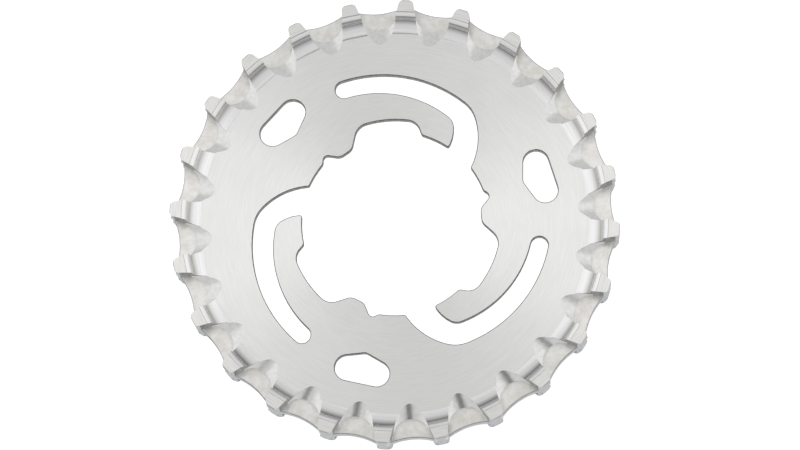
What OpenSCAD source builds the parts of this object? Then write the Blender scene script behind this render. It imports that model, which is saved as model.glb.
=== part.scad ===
// Rear sprocket for a toothed drive belt with a centre guide groove.
// One piece of stainless steel: a thin plate with spring arms round the
// hub opening, and a toothed rim with a guide fin at mid width.
// Millimetres. The back ends of the teeth stand on z = 0, and Z is the axis.

/* [Belt teeth] */

// Number of teeth on the rim
teeth = 24; // [18:1:32]
// Distance from tooth to tooth along the belt's cord line
belt_pitch = 11; // [8:0.5:14]
// Height of the belt's cord line above the tooth tips
cord_height = 1.02; // [0.5:0.02:2]
// Depth of the tooth gaps from tip to root
tooth_depth = 4.7; // [3:0.1:5.5]
// Width of a tooth at its tip, before its corners are rounded
tooth_tip_w = 2.5; // [1.5:0.05:3]
// Angle between a tooth flank and the gap's centre line
flank_angle = 18.6; // [12:0.1:24]
// Rounding of the tooth tip corners
tip_round = 1; // [0.2:0.05:1.2]
// Small break on the outer edges of the front tooth ends
tip_break = 0.15; // [0.05:0.05:0.4]
// Length of the taper on the back tooth tips, where the belt runs on
taper_len = 2.45; // [0.5:0.05:3]
// Radial drop of that taper
taper_drop = 0.65; // [0.1:0.05:1]
// Radial width of the flat ends of the teeth
tooth_end_w = 2; // [1:0.1:3]
// Height of the front tooth ends above the plate
tooth_rise = 3.55; // [2:0.05:5]

/* [Guide fin] */

// Thickness of the fin that runs between the tooth gaps
fin_t = 2.8; // [1.6:0.1:4]
// Depth of the fin's front face below the plate's front face
fin_sink = 0.85; // [0.4:0.05:1.5]
// Depth of the fin's edge below the tooth tips, at mid gap
fin_drop = 1.5; // [0.8:0.1:3]
// Radius of the hollow in the fin's edge
fin_hollow_r = 12.5; // [9:0.5:20]
// Bevel along the fin's edge
fin_bevel = 0.5; // [0.1:0.05:0.9]
// Length of the channel that slopes inward from each gap's root
channel_run = 2.83; // [1.5:0.05:4]
// Radius of the channel's round bottom
channel_r = 5; // [4.5:0.1:8]

/* [Rim] */

// Radius of the turned sweep from the plate up to the teeth
sweep_r = 3.5; // [2:0.1:3.6]
// Bevel between the sweep and the flat tooth ends
end_bevel = 0.25; // [0.1:0.05:0.5]
// Margin between the channels' ends and the inside of the back rib
back_margin = 0.9; // [0.5:0.1:2]
// Fillet where the back rib meets the plate
back_fillet = 1.2; // [0.5:0.1:2]

/* [Plate and bore] */

// Thickness of the plate
plate_t = 1.83; // [1.5:0.05:3.5]
// Diameter across the lands that seat on the hub
bore_d = 34.3; // [28:0.1:40]
// Depth of the relief arcs behind the lands
relief = 2.12; // [1:0.05:3]
// Height of the driving lugs inside the lands
lug_h = 1.4; // [0.8:0.05:2.5]
// Width of the driving lugs at their tips, before rounding
lug_w = 2.6; // [1.6:0.1:4]
// Angle between a lug's flank and its centre line
lug_flank = 47; // [30:1:60]
// Rounding of the lug tips
lug_round = 1.7; // [0.8:0.1:3]
// Fillet at the root of the lugs
lug_fillet = 2.84; // [1:0.1:3.5]
// Radius of the small notch beside each lug
notch_r = 0.87; // [0.5:0.05:1.2]

/* [Spring arms] */

// Number of lugs, arms and lightening holes
arms = 3; // [3:1:3]
// Thickness of an arm at its root
arm_root = 5.8; // [4:0.1:7]
// How far an arm's land stands inside the bore until it is sprung open
arm_preload = 0.13; // [0:0.01:0.4]
// Mean width of the slot behind an arm
slot_w = 3.62; // [2:0.05:5]
// Shift of the slot's outer arc that widens its open end
slot_flare = 0.76; // [0:0.02:1]
// Distance of the slot's arc centre from the axis
slot_shift = 5.02; // [3:0.1:7]
// Rounding at an arm's outer corner
arm_corner_r = 2.54; // [1:0.1:3]
// Radius of the bulged end of an arm
arm_end_r = 6.69; // [4:0.1:12]
// Rounding at an arm's point
arm_point_r = 0.55; // [0.2:0.05:1]
// Fillet in the relief beside an arm's land
arm_fillet = 2.52; // [1:0.1:3]
// Radius of the slot's wide corner
mouth_r = 5.62; // [3:0.1:8]
// Radius of the slot's sweep back to the land
mouth_sweep_r = 12.73; // [8:0.1:20]
// Rounding of the lands' small corners
corner_r = 0.4; // [0.2:0.05:0.6]

/* [Lightening holes] */

// Radius of the round ends of the holes
hole_end_r = 2.34; // [1.5:0.05:3]
// Distance between the round ends
hole_len = 5.4; // [3:0.1:8]
// Web between the holes and the tooth channels
hole_web = 3.08; // [2:0.05:5]
// How far the holes bulge inward in the middle
hole_bulge = 1.05; // [0:0.05:2]
// Rounding of the inward bulge
hole_knee_r = 1.5; // [0.8:0.1:2]

/* [Hidden] */
$fn = 96;
steel = [0.86, 0.86, 0.85];
over = 1;

// Rim sizes that follow from the belt
tip_r = teeth * belt_pitch / (2 * PI) - cord_height;
tooth_step = 360 / teeth;
root_r = tip_r - tooth_depth;
channel_end_r = root_r - channel_run;
fin_r = tip_r - fin_drop;
end_r = tip_r - tooth_end_w;

// Levels above the back tooth ends
half_w = tooth_rise + fin_sink + fin_t / 2;
z_front = 2 * half_w;
plate_front = z_front - tooth_rise;
plate_back = plate_front - plate_t;
fin_front = half_w + fin_t / 2;
rib_back = tooth_rise;

// Turned sweep, steep at its top and kept below the tooth ends
sweep_end_a = 80;
sweep_use_r = min(sweep_r, (tooth_rise - 2 * end_bevel) / (1 - cos(sweep_end_a)));
sweep_rise = sweep_use_r * (1 - cos(sweep_end_a));
sweep_lean = 0.17;
sweep_top_r = end_r - end_bevel - sweep_lean;
sweep_start = sweep_top_r - sweep_use_r * sin(sweep_end_a);
rib_r = channel_end_r - back_margin;

// Hub opening radii
bore_r = bore_d / 2;
relief_r = bore_r + relief;
lug_r = bore_r - lug_h;
arm_land_r = bore_r - arm_preload;
blank_in_r = lug_r - 4;

// Directions round the axis, counted from the middle of a tooth
third_a = 360 / arms;
lug_a = -7.4;
notch_a = 4.4;
notch_reach = [54, -64];
land_a = 8.3;
arm_land_a = 61.3;
arm_fillet_a = 70.8;
arm_side_a = 11.6;
arm_corner_a = 38.65;
arm_end_a = -8;
arm_end_start_a = -36;
slot_end_a = 98.9;
slot_shift_a = 115;
slot_flare_a = -29;
mouth_a = 39;
mouth_turn_a = 5.4;
hole_a = 5.7;

// Angles left free beside sharp corners, so that their roundings fit
land_ease_a = 1.5;
arm_ease_a = 2;
point_ease_a = 2.5;
sweep_ease_a = 4;
notch_sink = 0.2;

// A point at radius r and angle a
function pol(r, a) = [r * cos(a), r * sin(a)];

// Direction of a vector
function dir_of(v) = atan2(v[1], v[0]);

// Points along an arc round c within a hundredth of a millimetre, each with no rounding of its own
function arc(c, r, a0, a1) =
    let (n = max(1, ceil(abs(a1 - a0) / (2 * acos(1 - 0.01 / r)))))
    [for (i = [0:n]) let (p = c + pol(r, a0 + (a1 - a0) * i / n)) [p[0], p[1], 0]];

// A corner at point p that gets a rounding of radius r
function corner(p, r) = [[p[0], p[1], r]];

// Where a circle round c meets the circle of radius rb round the axis, on its clockwise side
function meet_bore(c, r, rb) =
    let (d = norm(c))
    pol(rb, dir_of(c) - acos((d * d + rb * rb - r * r) / (2 * d * rb)));

// The difference between two directions, from -180 to 180 degrees
function turn(a0, a1) = let (t = a1 - a0) t > 180 ? t - 360 : t < -180 ? t + 360 : t;

// Points of one corner b between a and c, as an arc if b carries a radius
function round_corner(a, b, c) =
    let (pb = [b[0], b[1]])
    let (u = [a[0], a[1]] - pb, v = [c[0], c[1]] - pb)
    let (un = u / norm(u), vn = v / norm(v))
    let (half = acos(max(-1, min(1, un * vn))) / 2)
    let (t = min(b[2] / tan(half), 0.98 * norm(u), 0.98 * norm(v)))
    let (r = t * tan(half))
    let (centre = pb + (un + vn) / norm(un + vn) * r / sin(half))
    let (a0 = dir_of(pb + un * t - centre))
    let (sweep = turn(a0, dir_of(pb + vn * t - centre)))
    let (n = max(2, ceil(abs(sweep) / 18)))
    [for (j = [0:n]) centre + pol(r, a0 + sweep * j / n)];

// A closed outline with its corners rounded and doubled points dropped
function rounded(points) =
    let (p = [for (i = [0:len(points) - 1])
        let (q = points[(i + 1) % len(points)])
        if (norm([points[i][0] - q[0], points[i][1] - q[1]]) > 0.02) points[i]])
    let (n = len(p))
    [for (i = [0:n - 1]) each p[i][2] > 0
        ? round_corner(p[(i + n - 1) % n], p[i], p[(i + 1) % n])
        : [[p[i][0], p[i][1]]]];

// Slot behind an arm: its edges lie on two arcs off the axis, closed by a round cap
slot_in_c = pol(slot_shift, slot_shift_a);
slot_root = pol(relief_r + arm_root, slot_end_a) - slot_in_c;
slot_in_r = norm(slot_root);
slot_out_c = slot_in_c + pol(slot_flare, slot_flare_a);
slot_out_r = slot_in_r + slot_w;
cap_a = dir_of(slot_root);
cap_shift = pol(1, cap_a) * (slot_out_c - slot_in_c);
cap_r = (slot_out_r ^ 2 - slot_in_r ^ 2 + 2 * slot_in_r * cap_shift - slot_flare ^ 2)
    / (2 * (slot_in_r + slot_out_r - cap_shift));
cap_c = slot_in_c + pol(slot_in_r + cap_r, cap_a);
cap_out_a = dir_of(cap_c - slot_out_c);

// Free end of an arm, tangent to the slot
arm_corner_c = slot_in_c + pol(slot_in_r - arm_corner_r, arm_corner_a);
arm_end_c = arm_corner_c + pol(arm_corner_r - arm_end_r, arm_end_a);
arm_point = meet_bore(arm_end_c, arm_end_r, arm_land_r);
arm_fillet_c = pol(relief_r - arm_fillet, arm_fillet_a);

// Wide mouth of the slot, tangent to its outer edge
mouth_c = slot_out_c + pol(slot_out_r - mouth_r, mouth_a);
mouth_sweep_c = mouth_c + pol(mouth_r - mouth_sweep_r, mouth_turn_a);
land_point = meet_bore(mouth_sweep_c, mouth_sweep_r, bore_r);

// Lug, and the fillet from its flank into the relief arc
lug_corner_a = pol(lug_r, lug_a) + pol(lug_w / 2, lug_a + 90);
lug_corner_b = pol(lug_r, lug_a) + pol(lug_w / 2, lug_a - 90);
flank_dir = pol(1, lug_a - lug_flank);
root_from = lug_corner_b + pol(lug_fillet, lug_a - lug_flank - 90);
root_along = root_from * flank_dir;
root_reach = sqrt(root_along ^ 2 - root_from * root_from + (relief_r - lug_fillet) ^ 2) - root_along;
lug_root_c = root_from + root_reach * flank_dir;
lug_root_a = dir_of(lug_root_c);

// One share of the hub opening, walked clockwise from the relief arc past the arm to the lug
opening_share = concat(
    arc([0, 0], relief_r, lug_root_a + third_a, arm_fillet_a),
    arc(arm_fillet_c, arm_fillet, arm_fillet_a, arm_side_a),
    corner(pol(arm_land_r, arm_land_a), corner_r),
    arc([0, 0], arm_land_r, arm_land_a - arm_ease_a, dir_of(arm_point) + point_ease_a),
    corner(arm_point, arm_point_r),
    arc(arm_end_c, arm_end_r, arm_end_start_a, arm_end_a),
    arc(arm_corner_c, arm_corner_r, arm_end_a, arm_corner_a),
    arc(slot_in_c, slot_in_r, arm_corner_a, cap_a),
    arc(cap_c, cap_r, cap_a + 180, cap_out_a),
    arc(slot_out_c, slot_out_r, cap_out_a, mouth_a),
    arc(mouth_c, mouth_r, mouth_a, mouth_turn_a),
    arc(mouth_sweep_c, mouth_sweep_r, mouth_turn_a,
        dir_of(land_point - mouth_sweep_c) + sweep_ease_a),
    corner(land_point, corner_r),
    arc([0, 0], bore_r, dir_of(land_point) - land_ease_a, land_a + land_ease_a),
    corner(pol(bore_r, land_a), corner_r),
    arc(pol(bore_r - notch_sink, notch_a), notch_r,
        notch_a + notch_reach[0], notch_a + notch_reach[1]),
    corner(lug_corner_a, lug_round),
    corner(lug_corner_b, lug_round),
    arc(lug_root_c, lug_fillet, lug_a - lug_flank + 90, lug_root_a)
);

// Half width of a tooth gap at distance x along its centre line
gap_mouth = pol(tip_r, tooth_step / 2 - asin(tooth_tip_w / 2 / tip_r));
function gap_half(x) = gap_mouth[1] + tan(flank_angle) * (x - gap_mouth[0]);

// Centre of the rounding at the tooth tip beside a gap, a hair outside tangent to the tip circle
tip_graze = 0.03;
tip_foot = [root_r, gap_half(root_r)] + pol(tip_round, flank_angle + 90);
tip_along = tip_foot * pol(1, flank_angle);
tip_reach = sqrt(tip_along ^ 2 - tip_foot * tip_foot + (tip_r + tip_graze - tip_round) ^ 2) - tip_along;
tip_c = tip_foot + pol(tip_reach, flank_angle);

// Opening for the hub, with the slots that free the arms
module hub_opening() {
    polygon(rounded([for (k = [0:arms - 1], q = opening_share)
        let (c = cos(third_a * k), s = -sin(third_a * k))
        [q[0] * c - q[1] * s, q[0] * s + q[1] * c, q[2]]]));
}

// One lightening hole, round ended and bulged toward the hub
module lightening_hole() {
    mid_r = channel_end_r - hole_web - hole_end_r;
    spread_a = asin(hole_len / 2 / mid_r);
    rotate(hole_a) hull() {
        for (side = [-1, 1]) rotate(side * spread_a)
            translate([mid_r, 0]) circle(hole_end_r, $fn = 36);
        translate([mid_r - hole_bulge - hole_end_r + hole_knee_r, 0]) circle(hole_knee_r, $fn = 36);
    }
}

// Outline that a tooth gap cuts, flared round the corners of the tooth tips
module gap_outline() {
    start = channel_end_r - over;
    tip_a = dir_of(tip_c);
    side = concat(
        [[start, gap_half(start)]],
        [for (i = [0:6]) tip_c + pol(tip_round, flank_angle - 90 + (tip_a - flank_angle + 90) * i / 6)],
        [pol(tip_r + 2 * over, tip_a)]
    );
    polygon(concat(side, [for (i = [len(side) - 1:-1:0]) [side[i][0], -side[i][1]]]));
}

// Round bottomed trough that slopes down from the plate's face and ends on the fin's face
module trough() {
    slope = atan(fin_sink / channel_run);
    reach = channel_run + tooth_depth + 4 * over;
    open_half = 0.97 * channel_r;
    open_from = 0.8 * channel_r;
    intersection() {
        translate([channel_end_r, 0, plate_front]) rotate([0, slope, 0]) translate([-over, 0, 0]) {
            translate([0, 0, channel_r]) rotate([0, 90, 0]) cylinder(r = channel_r, h = reach);
            translate([0, -open_half, open_from])
                cube([reach, 2 * open_half, tooth_rise + channel_r]);
        }
        translate([channel_end_r - 2 * over, -2 * channel_r, fin_front])
            cube([reach, 4 * channel_r, half_w]);
    }
}

// Hollow along the fin's edge, its own edges bevelled
module fin_hollow() {
    h = fin_t / 2;
    flare = fin_bevel + over / 2;
    translate([fin_r + fin_hollow_r, 0, half_w]) rotate_extrude($fn = 180) polygon([
        [0, -h - over / 2], [fin_hollow_r + flare, -h - over / 2], [fin_hollow_r, fin_bevel - h],
        [fin_hollow_r, h - fin_bevel], [fin_hollow_r + flare, h + over / 2], [0, h + over / 2]
    ]);
}

// One gap between two teeth, on both sides of the fin
module tooth_gap() {
    intersection() {
        translate([0, 0, -over]) linear_extrude(z_front + 2 * over) gap_outline();
        union() {
            trough();
            translate([0, 0, z_front]) mirror([0, 0, 1]) trough();
            fin_hollow();
        }
    }
}

// Section of one half of the rim, from mid width out to the tooth ends, its tips dropped over a length
module half_section(drop, length) {
    difference() {
        polygon([
            [sweep_start, half_w], [tip_r, half_w],
            [tip_r, z_front - length], [tip_r - drop, z_front],
            [end_r, z_front], [end_r - end_bevel, z_front - end_bevel],
            [sweep_top_r, plate_front + sweep_rise], [sweep_start, plate_front + sweep_rise]
        ]);
        translate([sweep_start, plate_front + sweep_use_r]) circle(sweep_use_r);
    }
}

// Section of the rib behind the rim, from its flat back to the plate
module back_rib() {
    difference() {
        translate([rib_r - back_fillet, rib_back])
            square([sweep_start - rib_r + back_fillet, plate_front - plate_t / 2 - rib_back]);
        translate([rib_r - back_fillet, plate_back - back_fillet]) circle(back_fillet);
        translate([rib_r - back_fillet - over, rib_back - over])
            square([back_fillet + over, plate_back - back_fillet - rib_back + over]);
    }
}

// Plate and rim as one turned blank
module blank() {
    rotate_extrude($fn = 240) {
        translate([blank_in_r, plate_back]) square([sweep_start - blank_in_r, plate_t]);
        half_section(tip_break, tip_break);
        translate([0, z_front]) mirror([0, 1]) half_section(taper_drop, taper_len);
        back_rib();
    }
}

// The whole sprocket
module sprocket() {
    color(steel) difference() {
        blank();
        for (i = [0:teeth - 1]) rotate((i + 0.5) * tooth_step) tooth_gap();
        translate([0, 0, plate_back - over]) linear_extrude(plate_t + 2 * over) {
            hub_opening();
            for (k = [0:arms - 1]) rotate(k * third_a) lightening_hole();
        }
    }
}

sprocket();
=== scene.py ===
# %% [markdown]
# # A belt drive sprocket in stainless steel
#
# The real part is one piece of stainless steel. It is turned to a thin plate with
# a thick rim, 24 gaps are milled into the rim, and the hub opening and three oval
# holes are cut through the plate. This lesson makes it in the same order: turn a
# blank, mill it with copies of one cutter, cut the openings, break the edges, and
# then give each kind of cut surface its own finish.

# %% Load the CAD frame
from math import acos, asin, atan2, cos, degrees, pi, radians, sin, sqrt, tan

import bpy
from mathutils import Matrix, Vector


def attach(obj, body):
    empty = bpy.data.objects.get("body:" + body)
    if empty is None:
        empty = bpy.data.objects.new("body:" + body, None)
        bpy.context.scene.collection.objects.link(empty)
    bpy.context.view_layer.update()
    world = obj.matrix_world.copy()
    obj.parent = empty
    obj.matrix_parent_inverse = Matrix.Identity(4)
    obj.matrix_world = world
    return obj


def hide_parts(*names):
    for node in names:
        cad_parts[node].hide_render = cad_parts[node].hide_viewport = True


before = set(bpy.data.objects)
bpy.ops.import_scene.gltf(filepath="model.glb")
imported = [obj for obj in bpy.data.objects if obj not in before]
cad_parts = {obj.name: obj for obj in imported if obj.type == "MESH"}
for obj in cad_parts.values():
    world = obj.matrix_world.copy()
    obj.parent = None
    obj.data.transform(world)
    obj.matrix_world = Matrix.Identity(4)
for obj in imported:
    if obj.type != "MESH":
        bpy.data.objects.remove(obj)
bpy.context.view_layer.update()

# %% [markdown]
# ## Sizes
#
# All sizes are in millimetres while the part is on the bench. A metre is too coarse
# a unit for an edge break of a tenth of a millimetre, so the finished mesh is made
# a thousand times smaller at the end. Every cutter runs past the steel by OVER.

# %% Sizes of the rim and the plate
TEETH = 24
BELT_PITCH = 11
TOOTH_STEP = 360 / TEETH
TIP_R = TEETH * BELT_PITCH / (2 * pi) - 1.02
ROOT_R = TIP_R - 4.7
CHANNEL_RUN = 2.83
CHANNEL_END_R = ROOT_R - CHANNEL_RUN
FIN_SINK = 0.85
FIN_T = 2.8
TOOTH_RISE = 3.55
HALF_W = TOOTH_RISE + FIN_SINK + FIN_T / 2
FRONT = 2 * HALF_W
PLATE_FRONT = FRONT - TOOTH_RISE
PLATE_T = 1.83
PLATE_BACK = PLATE_FRONT - PLATE_T
FIN_FRONT = HALF_W + FIN_T / 2
FIN_BACK = HALF_W - FIN_T / 2
OVER = 1
print(f"tips at {TIP_R:.2f}, roots at {ROOT_R:.2f}")
print(f"plate from {PLATE_BACK:.2f} to {PLATE_FRONT:.2f}")

# %% [markdown]
# ## A pen for outlines
#
# Every outline here is straight lines and arcs. Extruding a single vertex draws a
# line, and spinning it round a centre draws an arc, so these two operators make a
# pen. The pen keeps the place of its tip, because each move starts there.

# %% Drawing helpers
TURN = (0, 0, 1)


def polar(r, a, z=0):
    """A point at radius r and angle a in degrees."""
    return Vector((r * cos(radians(a)), r * sin(radians(a)), z))


def direction(v):
    return degrees(atan2(v.y, v.x))


def pen_down(name, at):
    """Starts a mesh of one vertex and leaves it open in edit mode."""
    bpy.ops.object.select_all(action="DESELECT")
    bpy.ops.mesh.primitive_plane_add(size=1)
    bpy.context.object.name = name
    bpy.ops.object.mode_set(mode="EDIT")
    bpy.ops.mesh.merge(type="CENTER")
    bpy.ops.transform.translate(value=at)
    return Vector(at)


def extrude(by):
    """Draws what is selected along a vector."""
    bpy.ops.mesh.extrude_region_move(TRANSFORM_OT_translate={"value": by})


def line_to(tip, point):
    extrude(Vector(point) - tip)
    return Vector(point)


def arc_round(tip, centre, sweep, axis=TURN, step=9):
    """Swings the tip round a centre by sweep degrees, right-handed about the axis."""
    steps = max(1, round(abs(sweep) / step))
    bpy.ops.mesh.spin(steps=steps, angle=-radians(sweep), center=centre, axis=axis)
    return Vector(centre) + Matrix.Rotation(radians(sweep), 3, axis) @ (tip - Vector(centre))


def close_outline():
    bpy.ops.mesh.select_all(action="SELECT")
    bpy.ops.mesh.edge_face_add()


def turn_round(centre, steps):
    """Turns the whole outline once round an axis through the centre."""
    bpy.ops.mesh.select_all(action="SELECT")
    bpy.ops.mesh.spin(steps=steps, angle=2 * pi, center=centre, axis=TURN, use_auto_merge=True)


def copy_round(count):
    """Copies everything round the part's axis, count times in all."""
    bpy.ops.mesh.select_all(action="SELECT")
    bpy.ops.mesh.spin(steps=count, angle=2 * pi, center=(0, 0, 0), axis=TURN, dupli=True)


def finish_solid():
    """Merges doubled points, points the faces outward and leaves edit mode."""
    bpy.ops.mesh.select_all(action="SELECT")
    bpy.ops.mesh.remove_doubles(threshold=0.001)
    bpy.ops.mesh.normals_make_consistent(inside=False)
    bpy.ops.object.mode_set(mode="OBJECT")
    return bpy.context.object


def take(piece):
    """Makes a piece the active one and the only one selected."""
    bpy.ops.object.select_all(action="DESELECT")
    bpy.context.view_layer.objects.active = piece
    piece.select_set(True)


def combine(piece, tool, how):
    """Joins, cuts or intersects two closed solids and uses the tool up."""
    take(piece)
    bpy.ops.object.modifier_add(type="BOOLEAN")
    cut = piece.modifiers[-1]
    cut.operation, cut.object, cut.solver = how, tool, "MANIFOLD"
    cut.material_mode = "TRANSFER"
    bpy.ops.object.modifier_apply(modifier=cut.name)
    bpy.data.objects.remove(tool)


# %% [markdown]
# ## One finish for each tool
#
# Every tool leaves its own surface. The lathe leaves fine rings on the plate, the
# tooth faces and the tips, and a polished hollow in the rim. The milling cutters
# leave smooth troughs and streaked flanks, the sides of the fin keep the skin of the
# casting, and the openings have dull cut walls with broken edges. The tips, flanks, cut
# walls and broken edges also get darker colours that are painted shade. So each tool
# carries the finish that it leaves, and a boolean cut hands it over to the faces that
# it makes. The finishes get their nodes later.

# %% Name the finishes
FINISHES = ("turned plate", "polished hollow", "tooth face", "turned tip", "cast fin side",
            "milled trough", "milled flank", "cut wall", "broken edge")
finish = {name: bpy.data.materials.new(name) for name in FINISHES}


def carry(piece, *names):
    """Gives a piece its finishes, the first of them all over."""
    for name in names:
        piece.data.materials.append(finish[name])


def paint(piece, name, belongs):
    """Gives a finish to the faces whose centre and normal pass a test."""
    slot = piece.data.materials.find(name)
    for face in piece.data.polygons:
        if belongs(face.center, face.normal):
            face.material_index = slot


# %% [markdown]
# ## The turned blank
#
# On the lathe the section of the part is drawn once and turned round the axis. The
# front and the back of the rim are mirror images, the plate lies nearer the front,
# and a rib runs behind the tooth gaps. The hollow between plate and teeth is a sweep
# that goes over into a steep wall with a rounded lip, and that turn and counter-turn
# make the bands of light and dark on every tooth.

# %% Draw the section and turn it
END_R = TIP_R - 2.14
TIP_BREAK = 0.15
TAPER_LEN = 2.45
TAPER_DROP = 0.65
SWEEP_START = END_R - 3.73
SWEEP_R = 3.5
SWEEP_A = 48
SWEEP_STEP = 3.2
KNEE_R = 0.5
WALL_A = 86
LIP_R = 1.6
LIP_START_A = 36
LIP_END_A = 6
LIP_BREAK = 0.08
BLANK_IN_R = 11.75
RIB_R = CHANNEL_END_R - 0.9
RIB_FILLET = 1.2
AROUND = (0, 1, 0)
TURNS = 480


def section(r, z):
    return Vector((r, 0, z))


def mirrored(v):
    """The same point of the section on the back."""
    return section(v.x, FRONT - v.z)


def slant(r, a):
    """From the centre of a round edge to the point where the surface has risen to angle a."""
    return section(-r * sin(radians(a)), r * cos(radians(a)))


sweep_c = section(SWEEP_START, PLATE_FRONT + SWEEP_R)
knee_c = sweep_c - slant(SWEEP_R - KNEE_R, SWEEP_A)
lip_c = section(END_R - LIP_BREAK, FRONT - LIP_BREAK) - slant(LIP_R, LIP_END_A)
tip = pen_down("sprocket_steel", section(BLANK_IN_R, PLATE_FRONT))
tip = line_to(tip, section(SWEEP_START, PLATE_FRONT))
tip = arc_round(tip, sweep_c, -SWEEP_A, AROUND, SWEEP_STEP)
tip = arc_round(tip, knee_c, SWEEP_A - WALL_A, AROUND, SWEEP_STEP)
tip = line_to(tip, lip_c + slant(LIP_R, LIP_START_A))
tip = arc_round(tip, lip_c, LIP_START_A - LIP_END_A, AROUND, SWEEP_STEP)
for r, z in (
    (END_R, FRONT),
    (TIP_R - TIP_BREAK, FRONT),
    (TIP_R, FRONT - TIP_BREAK),
    (TIP_R, TAPER_LEN),
    (TIP_R - TAPER_DROP, 0),
    (END_R, 0),
    (END_R - LIP_BREAK, LIP_BREAK),
):
    tip = line_to(tip, section(r, z))
tip = arc_round(tip, mirrored(lip_c), LIP_START_A - LIP_END_A, AROUND, SWEEP_STEP)
tip = line_to(tip, mirrored(knee_c - slant(KNEE_R, WALL_A)))
tip = arc_round(tip, mirrored(knee_c), SWEEP_A - WALL_A, AROUND, SWEEP_STEP)
tip = arc_round(tip, mirrored(sweep_c), -SWEEP_A, AROUND, SWEEP_STEP)
tip = line_to(tip, section(RIB_R, TOOTH_RISE))
tip = line_to(tip, section(RIB_R, PLATE_BACK - RIB_FILLET))
tip = arc_round(tip, section(RIB_R - RIB_FILLET, PLATE_BACK - RIB_FILLET), -90, AROUND)
tip = line_to(tip, section(BLANK_IN_R, PLATE_BACK))
close_outline()
bpy.ops.mesh.delete(type="ONLY_FACE")
turn_round((0, 0, 0), TURNS)
sprocket = finish_solid()
carry(sprocket, "turned plate", "polished hollow", "tooth face")
paint(
    sprocket, "polished hollow",
    lambda c, n: c.xy.length > SWEEP_START + 0.01 and abs(n.z) < 0.999,
)
paint(sprocket, "tooth face", lambda c, n: c.xy.length > END_R - 0.01 and abs(n.z) > 0.9)
paint(sprocket, "tooth face", lambda c, n: c.xy.length > TIP_R - TIP_BREAK + 0.01)
print("blank:", len(sprocket.data.polygons), "faces")

# %% [markdown]
# ## The gap cutter
#
# One milled gap is a wedge seen along the axis, flared round the tooth tips. Inside
# that wedge a wide, shallow trough slopes down from the plate, and a pocket with an
# arched end clears the side of the guide fin, on the front and on the back. A hollow
# takes the edge of the fin down. So the cutter is those tools joined and kept only
# where they lie inside the wedge.

# %% Draw the wedge
FLANK_A = 18.6
TIP_ROUND = 1
TIP_W = 2.5
ROUND_OUT = 0.03
ROUND_STEP = 11
gap_mouth = polar(TIP_R, TOOTH_STEP / 2 - degrees(asin(TIP_W / 2 / TIP_R)))


def gap_half(x):
    """Half width of the gap at distance x from the axis."""
    return gap_mouth.y + tan(radians(FLANK_A)) * (x - gap_mouth.x)


flank = polar(1, FLANK_A)
foot = Vector((ROOT_R, gap_half(ROOT_R), 0)) + polar(TIP_ROUND, FLANK_A + 90)
along = foot.dot(flank)
reach = sqrt(along**2 - foot.dot(foot) + (TIP_R + ROUND_OUT - TIP_ROUND) ** 2) - along
round_c = foot + flank * reach
round_a = direction(round_c)
inner = CHANNEL_END_R - OVER
left_c = Vector((round_c.x, round_c.y, -OVER))
right_c = Vector((round_c.x, -round_c.y, -OVER))
tip = pen_down("wedge", Vector((inner, -gap_half(inner), -OVER)))
tip = line_to(tip, right_c + polar(TIP_ROUND, 90 - FLANK_A))
tip = arc_round(tip, right_c, FLANK_A - 90 - round_a, TURN, ROUND_STEP)
tip = line_to(tip, polar(TIP_R + 2 * OVER, -round_a, -OVER))
tip = line_to(tip, polar(TIP_R + 2 * OVER, round_a, -OVER))
tip = line_to(tip, left_c + polar(TIP_ROUND, round_a))
tip = arc_round(tip, left_c, FLANK_A - 90 - round_a, TURN, ROUND_STEP)
tip = line_to(tip, Vector((inner, gap_half(inner), -OVER)))
close_outline()
extrude(Vector((0, 0, TAPER_LEN + OVER)))
extrude(Vector((0, 0, FRONT - TAPER_LEN + OVER)))
wedge = finish_solid()
carry(wedge, "milled flank")

# %% Move the round corners in where the tips taper
shrink = TAPER_DROP * (TAPER_LEN + OVER) / TAPER_LEN
for sign in (-1, 1):
    bpy.ops.object.mode_set(mode="EDIT")
    bpy.ops.mesh.select_mode(type="VERT")
    bpy.ops.mesh.select_all(action="DESELECT")
    bpy.ops.object.mode_set(mode="OBJECT")
    for vertex in wedge.data.vertices:
        x, y, z = vertex.co
        vertex.select = z < 0 and x > ROOT_R and y * sign > 0
    bpy.ops.object.mode_set(mode="EDIT")
    bpy.ops.transform.translate(value=polar(-shrink, sign * FLANK_A))
    bpy.ops.object.mode_set(mode="OBJECT")

# %% Make the trough in front of the fin
TROUGH_A = 4.5
TROUGH_R = 14
TROUGH_TOP = 4
TROUGH_LEN = 12
TROUGH_STEP = 2


def within_wedge(tool):
    """Keeps the part of a tool that lies inside the wedge."""
    take(wedge)
    bpy.ops.object.duplicate()
    combine(tool, bpy.context.object, "INTERSECT")


downhill = section(cos(radians(TROUGH_A)), -sin(radians(TROUGH_A)))
uphill = section(sin(radians(TROUGH_A)), cos(radians(TROUGH_A)))
side = Vector((0, TROUGH_R, 0))
trough_c = section(CHANNEL_END_R, PLATE_FRONT) - downhill * OVER + uphill * TROUGH_R
tip = pen_down("gap_cutter", trough_c + side + uphill * TROUGH_TOP)
tip = line_to(tip, trough_c + side)
tip = arc_round(tip, trough_c, -180, downhill, TROUGH_STEP)
tip = line_to(tip, trough_c - side + uphill * TROUGH_TOP)
close_outline()
extrude(downhill * TROUGH_LEN)
cutter = finish_solid()
carry(cutter, "milled trough")
within_wedge(cutter)

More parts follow.
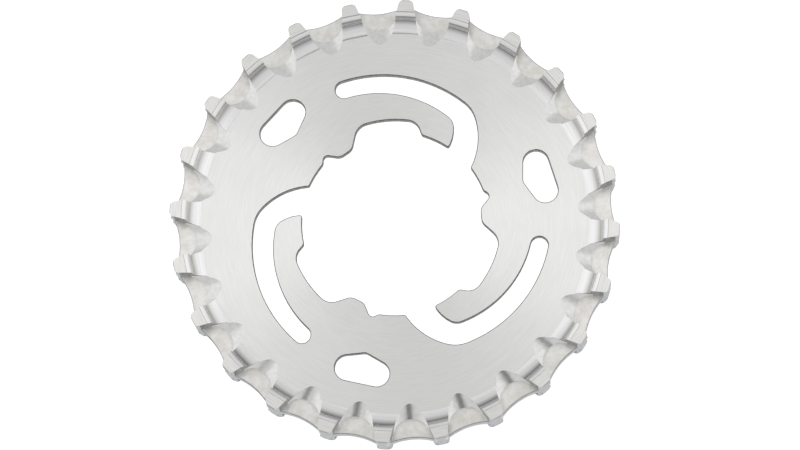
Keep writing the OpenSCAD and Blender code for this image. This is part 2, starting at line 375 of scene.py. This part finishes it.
# %% Make the pocket over the side of the fin, with its arched end
ARCH_R = 3.7
ARCH_A = 70
ARCH_STEP = 5
FLARE_LEN = 5
arch_c = section(ROOT_R + ARCH_R, FIN_FRONT)
flare = polar(FLARE_LEN, 90 - ARCH_A)
tip = pen_down("pocket_tool", arch_c + polar(ARCH_R, 180 - ARCH_A) + flare)
tip = line_to(tip, arch_c + polar(ARCH_R, 180 - ARCH_A))
tip = arc_round(tip, arch_c, 2 * ARCH_A, TURN, ARCH_STEP)
tip = line_to(tip, tip + Vector((flare.x, -flare.y, 0)))
close_outline()
extrude(Vector((0, 0, TOOTH_RISE + 2 * OVER)))
pocket = finish_solid()
carry(pocket, "milled trough", "cast fin side")
paint(pocket, "cast fin side", lambda c, n: n.z < -0.999)
within_wedge(pocket)
combine(cutter, pocket, "UNION")

# %% Mirror both to the back
bpy.ops.object.duplicate()
bpy.ops.object.mode_set(mode="EDIT")
bpy.ops.mesh.select_all(action="SELECT")
bpy.ops.transform.mirror(constraint_axis=(False, False, True), center_override=(0, 0, HALF_W))
back_trough = finish_solid()

# %% Make the tool for the fin's edge
FIN_R = TIP_R - 1.42
HOLLOW_R = 12.5
FIN_BEVEL = 0.15
FIN_OVER = 0.5
hollow_x = FIN_R + HOLLOW_R
tip = pen_down("fin_tool", section(hollow_x, FIN_BACK - FIN_OVER))
for r, z in (
    (FIN_R - FIN_BEVEL - FIN_OVER, FIN_BACK - FIN_OVER),
    (FIN_R, FIN_BACK + FIN_BEVEL),
    (FIN_R, FIN_FRONT - FIN_BEVEL),
    (FIN_R - FIN_BEVEL - FIN_OVER, FIN_FRONT + FIN_OVER),
    (hollow_x, FIN_FRONT + FIN_OVER),
):
    tip = line_to(tip, section(r, z))
turn_round((hollow_x, 0, 0), TURNS // 2)
fin_tool = finish_solid()
carry(fin_tool, "turned tip")

# %% Join the tools and mill the 24 gaps
combine(fin_tool, wedge, "INTERSECT")
combine(cutter, back_trough, "UNION")
combine(cutter, fin_tool, "UNION")
bpy.ops.object.mode_set(mode="EDIT")
bpy.ops.mesh.select_all(action="SELECT")
half_step = radians(-TOOTH_STEP / 2)
bpy.ops.transform.rotate(value=half_step, orient_axis="Z", center_override=(0, 0, 0))
copy_round(TEETH)
cutter = finish_solid()
combine(sprocket, cutter, "DIFFERENCE")
print("milled rim:", len(sprocket.data.polygons), "faces")

# %% [markdown]
# ## The hub opening
#
# Three lugs drive the sprocket, and between them three thin arms spring against the
# hub. The opening has three equal shares, so one share is drawn as a chain of arcs,
# clockwise from the relief arc past the arm to the lug, and copied twice round.

# %% Centres and radii of the arcs
ARMS = 3
THIRD = 360 / ARMS
BORE_R = 17.15
RELIEF_R = BORE_R + 2.12
LUG_R = BORE_R - 1.4
LUG_W = 2.6
LUG_A = -7.4
LUG_FLANK = 47
LUG_ROUND = 1.7
LUG_FILLET = 2.84
NOTCH_R = 0.87
NOTCH_A = 4.4
NOTCH_SINK = 0.2
NOTCH_START_A = NOTCH_A + 54
NOTCH_END_A = NOTCH_A - 64
LAND_A = 8.3
ARM_LAND_R = BORE_R - 0.13
ARM_LAND_A = 61.3
ARM_FILLET = 2.52
ARM_FILLET_A = 70.8
ARM_SIDE_A = 11.6
SLOT_SHIFT = polar(5.02, 115)
SLOT_FLARE = polar(0.76, -29)
SLOT_W = 3.62
SLOT_END_A = 98.9
ARM_ROOT = 5.8
ARM_CORNER_R = 2.54
ARM_CORNER_A = 38.65
ARM_END_R = 6.69
ARM_END_A = -8
ARM_END_START_A = -36
MOUTH_R = 5.62
MOUTH_A = 39
MOUTH_TURN_A = 5.4
MOUTH_SWEEP_R = 12.73

slot_root = polar(RELIEF_R + ARM_ROOT, SLOT_END_A) - SLOT_SHIFT
slot_in_r = slot_root.length
slot_out_c = SLOT_SHIFT + SLOT_FLARE
slot_out_r = slot_in_r + SLOT_W
cap_a = direction(slot_root)
shift = polar(1, cap_a).dot(SLOT_FLARE)
cap_r = (slot_out_r**2 - slot_in_r**2 + 2 * slot_in_r * shift - SLOT_FLARE.length_squared) / (
    2 * (slot_in_r + slot_out_r - shift)
)
cap_c = SLOT_SHIFT + polar(slot_in_r + cap_r, cap_a)
arm_corner_c = SLOT_SHIFT + polar(slot_in_r - ARM_CORNER_R, ARM_CORNER_A)
arm_end_c = arm_corner_c + polar(ARM_CORNER_R - ARM_END_R, ARM_END_A)
arm_fillet_c = polar(RELIEF_R - ARM_FILLET, ARM_FILLET_A)
mouth_c = slot_out_c + polar(slot_out_r - MOUTH_R, MOUTH_A)
mouth_sweep_c = mouth_c + polar(MOUTH_R - MOUTH_SWEEP_R, MOUTH_TURN_A)


def meets_bore(c, r, bore):
    """Direction of the crossing, on the clockwise side, of a circle round c and the bore."""
    d = c.length
    return direction(c) - degrees(acos((d * d + bore * bore - r * r) / (2 * d * bore)))


arm_point_a = meets_bore(arm_end_c, ARM_END_R, ARM_LAND_R)
land_point_a = meets_bore(mouth_sweep_c, MOUTH_SWEEP_R, BORE_R)
land_point = polar(BORE_R, land_point_a)
lug_left = polar(LUG_R, LUG_A) + polar(LUG_W / 2, LUG_A + 90)
lug_right = polar(LUG_R, LUG_A) + polar(LUG_W / 2, LUG_A - 90)
lug_side = polar(1, LUG_A - LUG_FLANK)
root_from = lug_right + polar(LUG_FILLET, LUG_A - LUG_FLANK - 90)
root_along = root_from.dot(lug_side)
root_gap = root_from.dot(root_from) - (RELIEF_R - LUG_FILLET) ** 2
root_reach = sqrt(root_along**2 - root_gap) - root_along
lug_root_c = root_from + root_reach * lug_side
lug_root_a = direction(lug_root_c)

# %% Draw one share of the opening
AXIS = Vector((0, 0, 0))
SMALL_STEP = 9
LARGE_STEP = 3
LARGE_R = 8
SAME_POINT = 0.02
notch_c = polar(BORE_R - NOTCH_SINK, NOTCH_A)
chain = (
    (AXIS, RELIEF_R, lug_root_a + THIRD, ARM_FILLET_A),
    (arm_fillet_c, ARM_FILLET, ARM_FILLET_A, ARM_SIDE_A),
    polar(ARM_LAND_R, ARM_LAND_A),
    (AXIS, ARM_LAND_R, ARM_LAND_A - 2, arm_point_a + 2.5),
    polar(ARM_LAND_R, arm_point_a),
    (arm_end_c, ARM_END_R, ARM_END_START_A, ARM_END_A),
    (arm_corner_c, ARM_CORNER_R, ARM_END_A, ARM_CORNER_A),
    (SLOT_SHIFT, slot_in_r, ARM_CORNER_A, cap_a),
    (cap_c, cap_r, cap_a + 180, direction(cap_c - slot_out_c)),
    (slot_out_c, slot_out_r, direction(cap_c - slot_out_c), MOUTH_A),
    (mouth_c, MOUTH_R, MOUTH_A, MOUTH_TURN_A),
    (mouth_sweep_c, MOUTH_SWEEP_R, MOUTH_TURN_A, direction(land_point - mouth_sweep_c) + 4),
    land_point,
    (AXIS, BORE_R, land_point_a - 1.5, LAND_A + 1.5),
    polar(BORE_R, LAND_A),
    (notch_c, NOTCH_R, NOTCH_START_A, NOTCH_END_A),
    lug_left,
    lug_right,
    (lug_root_c, LUG_FILLET, LUG_A - LUG_FLANK + 90, lug_root_a),
)
level = Vector((0, 0, PLATE_BACK - OVER))
tip = pen_down("opening_cutter", polar(RELIEF_R, lug_root_a + THIRD) + level)
for move in chain:
    if isinstance(move, Vector):
        tip = line_to(tip, move + level)
        continue
    centre, r, start, end = move
    begin = centre + polar(r, start) + level
    if (begin - tip).length > SAME_POINT:
        tip = line_to(tip, begin)
    tip = arc_round(tip, centre + level, end - start, TURN, SMALL_STEP if r < LARGE_R else LARGE_STEP)
print("share ends at", [round(c, 3) for c in tip], "and starts at",
      [round(c, 3) for c in polar(RELIEF_R, lug_root_a + THIRD)])

# %% Round its small corners, copy it round and cut
def round_corner(point, offset):
    """Rounds the outline's vertex nearest to a point, which a vertex bevel does."""
    mesh = bpy.context.object.data
    bpy.ops.mesh.select_all(action="DESELECT")
    bpy.ops.object.mode_set(mode="OBJECT")
    nearest = min(mesh.vertices, key=lambda v: (v.co - point - level).length)
    nearest.select = True
    bpy.ops.object.mode_set(mode="EDIT")
    bpy.ops.mesh.bevel(offset=offset, affect="VERTICES", segments=6, clamp_overlap=True)


for corner, offset in (
    (polar(ARM_LAND_R, ARM_LAND_A), 0.4),
    (polar(ARM_LAND_R, arm_point_a), 0.45),
    (land_point, 0.25),
    (polar(BORE_R, LAND_A), 0.3),
    (lug_left, 0.65),
    (lug_right, 0.65),
):
    round_corner(corner, offset)
copy_round(ARMS)
bpy.ops.mesh.select_all(action="SELECT")
bpy.ops.mesh.remove_doubles(threshold=SAME_POINT)
bpy.ops.mesh.edge_face_add()
extrude(Vector((0, 0, PLATE_T + 2 * OVER)))
opening = finish_solid()
carry(opening, "cut wall")
combine(sprocket, opening, "DIFFERENCE")
print("with hub opening:", len(sprocket.data.polygons), "faces")

# %% [markdown]
# ## The lightening holes
#
# Each of the three ovals has two round ends, a straight outer side, and a blunt knee
# toward the hub.

# %% Cut the oval holes
HOLE_END_R = 2.34
HOLE_A = 5.7
HOLE_KNEE_R = 1.5
HOLE_KNEE_RISE = 1.05
HOLE_HALF_SPAN = 2.7
HOLE_EDGE = 3.08
hole_mid_r = CHANNEL_END_R - HOLE_EDGE - HOLE_END_R
hole_spread = degrees(asin(HOLE_HALF_SPAN / hole_mid_r))
hole_inner = hole_mid_r - HOLE_KNEE_RISE - HOLE_END_R + HOLE_KNEE_R
ends = [polar(hole_mid_r, HOLE_A + sign * hole_spread) for sign in (-1, 1)]
knee = polar(hole_inner, HOLE_A)


def tangent_angle(c0, r0, c1, r1):
    """Direction of the normal that two circles share, left of the way from c0 to c1."""
    way = c1 - c0
    return direction(way) + degrees(acos((r0 - r1) / way.length))


# walked anticlockwise: outer side, upper end, inner side to the knee, and back
a_outer = HOLE_A
a_upper = tangent_angle(knee, HOLE_KNEE_R, ends[1], HOLE_END_R)
a_lower = 2 * HOLE_A - a_upper
start = ends[0] + polar(HOLE_END_R, a_outer) + level
tip = pen_down("hole_cutter", start)
tip = line_to(tip, ends[1] + polar(HOLE_END_R, a_outer) + level)
tip = arc_round(tip, ends[1] + level, (a_upper - a_outer) % 360, TURN)
tip = line_to(tip, knee + polar(HOLE_KNEE_R, a_upper) + level)
tip = arc_round(tip, knee + level, (a_lower - a_upper) % 360, TURN)
tip = line_to(tip, ends[0] + polar(HOLE_END_R, a_lower) + level)
tip = arc_round(tip, ends[0] + level, (a_outer - a_lower) % 360, TURN)
print("oval closes within", round((tip - start).length, 4))
close_outline()
extrude(Vector((0, 0, PLATE_T + 2 * OVER)))
copy_round(ARMS)
holes = finish_solid()
carry(holes, "cut wall")
combine(sprocket, holes, "DIFFERENCE")
print("with holes:", len(sprocket.data.polygons), "faces")

# %% [markdown]
# ## Clean mesh and broken edges
#
# The cuts leave many slivers in the flat faces. Dissolving edges between faces that
# lie in one plane tidies them, and keeps the finishes apart. Then the edges of the
# openings get a break of 0.14 mm in a dark colour of its own, which is painted shade,
# and every other sharp edge gets one of 0.1 mm, as tumbling gives the real part. It is
# too small to see as a shape, and still it catches the light as a thin line.

# %% Give the rounded tips one finish
# the tips' cool grey, darker than the rest of the steel, is painted shade
paint(sprocket, "turned tip", lambda c, n: c.xy.length > TIP_R - 1 and abs(n.z) < 0.5)

# %% Tidy the flat faces
take(sprocket)
bpy.ops.object.mode_set(mode="EDIT")
bpy.ops.mesh.select_all(action="SELECT")
bpy.ops.mesh.remove_doubles(threshold=0.01)
bpy.ops.mesh.dissolve_degenerate(threshold=0.01)
bpy.ops.mesh.dissolve_limited(angle_limit=radians(0.2), delimit={"MATERIAL"})
bpy.ops.object.mode_set(mode="OBJECT")
print("tidied:", len(sprocket.data.polygons), "faces")

# %% Ways to pick edges
def select_sharp(angle):
    """Selects the edges that turn by more than an angle in degrees."""
    bpy.ops.mesh.select_mode(type="EDGE")
    bpy.ops.mesh.select_all(action="DESELECT")
    bpy.ops.mesh.edges_select_sharp(sharpness=radians(angle))


def select_border(name):
    """Selects the edges round the faces that have a finish."""
    bpy.ops.mesh.select_mode(type="FACE")
    bpy.ops.mesh.select_all(action="DESELECT")
    sprocket.active_material_index = sprocket.data.materials.find(name)
    bpy.ops.object.material_slot_select()
    bpy.ops.mesh.region_to_loop()


# %% Break the sharp edges
EDGE_BREAK = 0.1
WALL_BREAK = 0.14
SHADE_SHARP_A = 14
BREAK_SHARP_A = 40
broken = len(sprocket.data.materials)
carry(sprocket, "broken edge")
bpy.ops.object.mode_set(mode="EDIT")
select_sharp(SHADE_SHARP_A)
bpy.ops.mesh.mark_sharp()
for name in ("milled trough", "cast fin side"):
    select_border(name)
    bpy.ops.mesh.mark_sharp()
# the break round the openings takes the darkest colour, a painted shade
select_border("cut wall")
bpy.ops.mesh.bevel(offset=WALL_BREAK, segments=2, profile=0.5, material=broken)
select_sharp(BREAK_SHARP_A)
bpy.ops.mesh.bevel(offset=EDGE_BREAK, segments=2, profile=0.5, clamp_overlap=True)

# %% Shrink it to metres and hand it its place
bpy.ops.mesh.select_all(action="SELECT")
bpy.ops.transform.resize(value=(0.001, 0.001, 0.001), center_override=(0, 0, 0))
bpy.ops.object.mode_set(mode="OBJECT")
bpy.ops.object.shade_smooth()
bpy.ops.object.modifier_add(type="WEIGHTED_NORMAL")
even = sprocket.modifiers[-1]
even.keep_sharp = True
even.weight = 100
bpy.ops.object.modifier_apply(modifier=even.name)
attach(sprocket, "root")
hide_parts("sprocket")
sprocket.data.calc_loop_triangles()
triangles = len(sprocket.data.loop_triangles)
print("finished:", len(sprocket.data.polygons), "faces,", triangles, "triangles")

# %% Node helpers
def linear(hex_code):
    """Turns an sRGB hex colour into Blender's linear colour."""
    parts = [int(hex_code[i : i + 2], 16) / 255 for i in (1, 3, 5)]
    return [c / 12.92 if c <= 0.04045 else ((c + 0.055) / 1.055) ** 2.4 for c in parts] + [1]


def add_node(tree, kind, settings=None, **links):
    """Adds a node. A link names an input, by name or as _number, and gives a value or a socket."""
    node = tree.nodes.new("ShaderNode" + kind)
    for name, value in (settings or {}).items():
        setattr(node, name, value)
    for name, value in links.items():
        key = int(name[1:]) if name[1:].isdigit() else name.replace("_", " ")
        socket = node.inputs[key]
        if isinstance(value, bpy.types.NodeSocket):
            tree.links.new(value, socket)
        else:
            socket.default_value = value
    return node


# %% [markdown]
# ## Turned, polished, milled, cast and cut steel
#
# The steel is the same all over. What differs is the trace that each tool left, and the painted shade
# that darkens the tips, flanks, cut walls and broken edges.
# A lathe leaves grooves that run round the axis. They spread a reflection across
# themselves, so the plate is bright at the left and right, where that spread reaches
# the studio's side panels, and dimmer above and below. Anisotropy does this: its
# tangent points away from the axis, because that is the way the grooves spread light.

# %% Coordinates that follow the lathe
def start_steel(name):
    """Empties a finish's node tree and adds its place on the part."""
    material = finish[name]
    material.use_nodes = True
    tree = material.node_tree
    tree.nodes.clear()
    return tree, add_node(tree, "TexCoord").outputs["Object"]


def stretch(tree, place, scale):
    return add_node(tree, "VectorMath", {"operation": "MULTIPLY"}, _0=place, _1=scale).outputs[0]


def away_from_axis(tree, place):
    return stretch(tree, place, (1, 1, 0))


def lathe_lines(tree, outward, pitch_mm, rings=3.0):
    """Noise that changes quickly with the radius and slowly round the axis."""
    radius = add_node(tree, "VectorMath", {"operation": "LENGTH"}, _0=outward).outputs["Value"]
    unit = add_node(tree, "VectorMath", {"operation": "NORMALIZE"}, _0=outward).outputs[0]
    along = add_node(tree, "VectorMath", {"operation": "SCALE"}, _0=unit, Scale=rings).outputs[0]
    per_m = 1000 / pitch_mm
    count = add_node(tree, "Math", {"operation": "MULTIPLY"}, _0=radius, _1=per_m).outputs[0]
    across = add_node(tree, "CombineXYZ", Z=count).outputs[0]
    where = add_node(tree, "VectorMath", {"operation": "ADD"}, _0=along, _1=across).outputs[0]
    noise = add_node(tree, "TexNoise", Vector=where, Scale=1.0, Detail=3.0, Roughness=0.6)
    return noise.outputs["Fac"]


def speckle(tree, place, size_mm, **more):
    """Noise with grains of a real size."""
    return add_node(tree, "TexNoise", Vector=place, Scale=1000 / size_mm, **more).outputs["Fac"]


def blend(tree, share, low, high):
    return add_node(tree, "Mix", {"data_type": "RGBA"}, _0=share, _6=low, _7=high).outputs[2]


def tint(tree, factor, low, high, start=0.35, end=0.65):
    """A colour that goes from low to high as a pattern goes from start to end."""
    share = add_node(tree, "MapRange", _0=factor, _1=start, _2=end).outputs[0]
    return blend(tree, share, linear(low), linear(high))


def finish_steel(tree, colour, roughness, anisotropic=0.0, tangent=None, normal=None, metallic=1.0):
    """The metal shader, with what varies as links and what doesn't on its own sockets."""
    links = dict(Base_Color=colour, Metallic=metallic, Roughness=roughness)
    links["Anisotropic"] = anisotropic
    if tangent is not None:
        links["Tangent"] = tangent
    if normal is not None:
        links["Normal"] = normal
    shader = add_node(tree, "BsdfPrincipled", **links)
    add_node(tree, "OutputMaterial", Surface=shader.outputs[0])


# %% Turned plate
# Real grooves are about 0.1 mm apart and melt into a sheen at this size, so the lines
# are drawn 0.25 mm apart, as coarse as they need to be to show. Faint clouds 8 mm wide
# make the sheen uneven.
tree, place = start_steel("turned plate")
outward = away_from_axis(tree, place)
lines = lathe_lines(tree, outward, 0.25, 7.0)
cloud = add_node(tree, "TexNoise", Vector=place, Scale=120.0, Detail=2.0).outputs["Fac"]
colour = tint(tree, lines, "#f5f5f3", "#fbfbfa")
groove = add_node(tree, "Bump", Strength=0.2, Distance=0.00001, Height=lines).outputs[0]
rough = add_node(tree, "MapRange", _0=cloud, _1=0.3, _2=0.7, _3=0.28, _4=0.34).outputs[0]
finish_steel(tree, colour, rough, 0.85, outward, groove)

# %% Polished hollow
# The polish takes all but a trace of the rings away, so the hollow mirrors the studio
# in clear bands.
tree, place = start_steel("polished hollow")
outward = away_from_axis(tree, place)
lines = lathe_lines(tree, outward, 0.3)
colour = tint(tree, lines, "#f2f2f2", "#fafafa")
groove = add_node(tree, "Bump", Strength=0.3, Distance=0.000004, Height=lines).outputs[0]
finish_steel(tree, colour, 0.16, 0.5, outward, groove)

# %% Tooth face
# The tooth ends are faced on the lathe, so one soft, slightly warm sheen runs on from
# tooth to tooth.
tree, place = start_steel("tooth face")
outward = away_from_axis(tree, place)
lines = lathe_lines(tree, outward, 0.25, 12.0)
colour = tint(tree, lines, "#f1f0ed", "#fdfcfa")
groove = add_node(tree, "Bump", Strength=0.4, Distance=0.00001, Height=lines).outputs[0]
finish_steel(tree, colour, 0.34, 0.75, outward, groove)

# %% Turned tip
# The tips get a cool grey that is darker than the cut steel, a painted shade that
# draws the outline of every tooth.
tree, place = start_steel("turned tip")
marks = speckle(tree, place, 0.8, Detail=2.0)
colour = tint(tree, marks, "#cfd3d6", "#e1e3e5")
finish_steel(tree, colour, 0.3, metallic=0.75)

# %% Cast fin side
# Sand grains leave dimples about a millimetre wide. They scatter the light, so the
# fin's sides look matt and slightly warm beside the polished steel.
tree, place = start_steel("cast fin side")
outward = away_from_axis(tree, place)
grain = speckle(tree, place, 1.3, Detail=3.0, Roughness=0.55)
colour = tint(tree, grain, "#efece6", "#fffefb")
skin = add_node(tree, "Bump", Strength=0.55, Distance=0.0001, Height=grain).outputs[0]
finish_steel(tree, colour, 0.38, 0.65, outward, skin)

# %% Milled trough
# The finest cutter leaves nearly a mirror, in which the dark spot of the studio shows
# as a stripe.
tree, place = start_steel("milled trough")
outward = away_from_axis(tree, place)
marks = speckle(tree, place, 0.8, Detail=2.0)
colour = tint(tree, marks, "#e0e0df", "#e9e9e8")
scallop = add_node(tree, "Bump", Strength=0.15, Distance=0.00002, Height=marks).outputs[0]
finish_steel(tree, colour, 0.13, 0.2, outward, scallop)

# %% Milled flank, cut wall and broken edge
# These tools travel round the shape with their edge parallel to the axis, so the
# marks are streaks along it, a third of a millimetre apart. All three get a painted
# shade that makes them darker than the faces round them, the broken edges most of all.
for name, low, high, roughness in (
    ("milled flank", "#787877", "#a2a2a1", 0.3),
    ("cut wall", "#989897", "#c2c2c0", 0.4),
    ("broken edge", "#616160", "#848483", 0.4),
):
    tree, place = start_steel(name)
    streaks = speckle(tree, stretch(tree, place, (1, 1, 0.12)), 0.33, Detail=2.0)
    colour = tint(tree, streaks, low, high)
    ridge = add_node(tree, "Bump", Strength=0.5, Distance=0.00002, Height=streaks).outputs[0]
    finish_steel(tree, colour, roughness, normal=ridge)

# %% [markdown]
# ## The studio
#
# All light comes from the world and the white floor, and there is no lamp. Polished
# steel looks like what it mirrors, so the world is a room drawn by height: dark at the
# horizon, bright overhead, with brighter panels at the left and the right.

# %% Floor
# The steel doesn't mirror the floor, only the studio below, so that the walls of the
# openings and the flanks of the teeth stand out dark against the white.
bpy.ops.object.select_all(action="DESELECT")
bpy.ops.mesh.primitive_plane_add(size=6)
floor = bpy.context.object
floor.name = "floor"
floor.visible_glossy = False
paper = bpy.data.materials.new("white paper")
paper.use_nodes = True
shader = paper.node_tree.nodes["Principled BSDF"]
shader.inputs["Base Color"].default_value = linear("#fafafa")
shader.inputs["Roughness"].default_value = 0.9
shader.inputs["Emission Color"].default_value = (1, 1, 1, 1)
shader.inputs["Emission Strength"].default_value = 0.75
floor.data.materials.append(paper)

# %% Camera
PHOTO_TURN = -12.15
TILT = 11.449
TOWARD = -91.28
DISTANCE = 0.6803
PICTURE_W = 800
PICTURE_H = 450
FOCAL_PX = 3730
MIDDLE_X = 394.94
MIDDLE_Y = 222.54
SENSOR_W = 36
turn = Matrix.Rotation(radians(PHOTO_TURN), 3, "Z")
lean = Matrix.Rotation(radians(TILT), 3, polar(1, TOWARD + 90))
basis = lean @ turn
centre = Vector((0, 0, PLATE_FRONT)) / 1000
place = centre + basis @ Vector((0, 0, DISTANCE))
bpy.ops.object.camera_add(location=place, rotation=basis.to_euler())
camera = bpy.context.object
camera.data.sensor_width = SENSOR_W
camera.data.lens = SENSOR_W * FOCAL_PX / PICTURE_W
camera.data.shift_x = (PICTURE_W / 2 - MIDDLE_X) / PICTURE_W
camera.data.shift_y = (MIDDLE_Y - PICTURE_H / 2) / PICTURE_W
camera.data.clip_start = 0.01
bpy.context.scene.camera = camera

# %% Studio
def ramp(tree, height, *stops):
    """Light by height, from -1 straight down to 1 straight up."""
    share = add_node(tree, "MapRange", _0=height, _1=-1.0, _2=1.0).outputs[0]
    node = add_node(tree, "ValToRGB", Fac=share)
    bar = node.color_ramp
    while len(bar.elements) < len(stops):
        bar.elements.new(0.5)
    for element, (at, *colour) in zip(bar.elements, stops):
        element.position = (at + 1) / 2
        element.color = (*colour, 1) if len(colour) == 3 else (*colour * 3, 1)
    return node.outputs["Color"]


world = bpy.data.worlds.new("studio")
bpy.context.scene.world = world
world.use_nodes = True
tree = world.node_tree
tree.nodes.clear()
sky = add_node(tree, "TexCoord").outputs["Generated"]
turned = add_node(
    tree, "VectorRotate", {"rotation_type": "Z_AXIS"}, Vector=sky, Angle=radians(-PHOTO_TURN)
)
facing = turned.outputs[0]
x, y, z = add_node(tree, "SeparateXYZ", _0=facing).outputs
room = ramp(
    tree, z,
    (-1, 0.6), (-0.5, 0.45), (-0.15, 0.2, 0.19, 0.17),
    (0.0, 0.15, 0.145, 0.13), (0.1, 0.17, 0.165, 0.155),
    (0.2, 0.25), (0.3, 0.34), (0.43, 0.46), (0.55, 0.56), (0.68, 0.64), (0.9, 0.69), (1.0, 0.74),
)
panels = ramp(
    tree, z,
    (-1, 0.6), (-0.5, 0.55), (-0.15, 0.45, 0.43, 0.39),
    (0.0, 0.42, 0.4, 0.36), (0.24, 0.6, 0.58, 0.55),
    (0.37, 0.72), (0.5, 0.82), (0.62, 0.89), (0.72, 0.94), (0.85, 0.97), (1.0, 0.95),
)
# the share of left and right in a direction, about the camera's own tilt
y_off = add_node(tree, "Math", {"operation": "SUBTRACT"}, _0=y, _1=sin(radians(TILT))).outputs[0]
xx = add_node(tree, "Math", {"operation": "MULTIPLY"}, _0=x, _1=x).outputs[0]
yy = add_node(tree, "Math", {"operation": "MULTIPLY_ADD"}, _0=y_off, _1=y_off, _2=xx).outputs[0]
share = add_node(tree, "Math", {"operation": "DIVIDE"}, _0=xx, _1=yy).outputs[0]
soft = {"interpolation_type": "SMOOTHSTEP"}
share = add_node(tree, "MapRange", soft, _0=share, _1=0.5, _2=0.85).outputs[0]
mixed = blend(tree, share, room, panels)
# the photographer above the part, as a soft dark shape a little narrower than it is high
SPOT_AT = (0, 0.02, 1)
shape = stretch(tree, facing, (1.1, 1, 1))
spot = add_node(tree, "VectorMath", {"operation": "DISTANCE"}, _0=shape, _1=SPOT_AT)
shade = add_node(
    tree, "MapRange", soft, _0=spot.outputs["Value"], _1=0.04, _2=0.14, _3=0.2, _4=1.0
)
back = add_node(tree, "Background", Color=mixed, Strength=shade.outputs[0])
add_node(tree, "OutputWorld", Surface=back.outputs[0])
bpy.context.scene.view_settings.view_transform = "Standard"
print("studio ready")
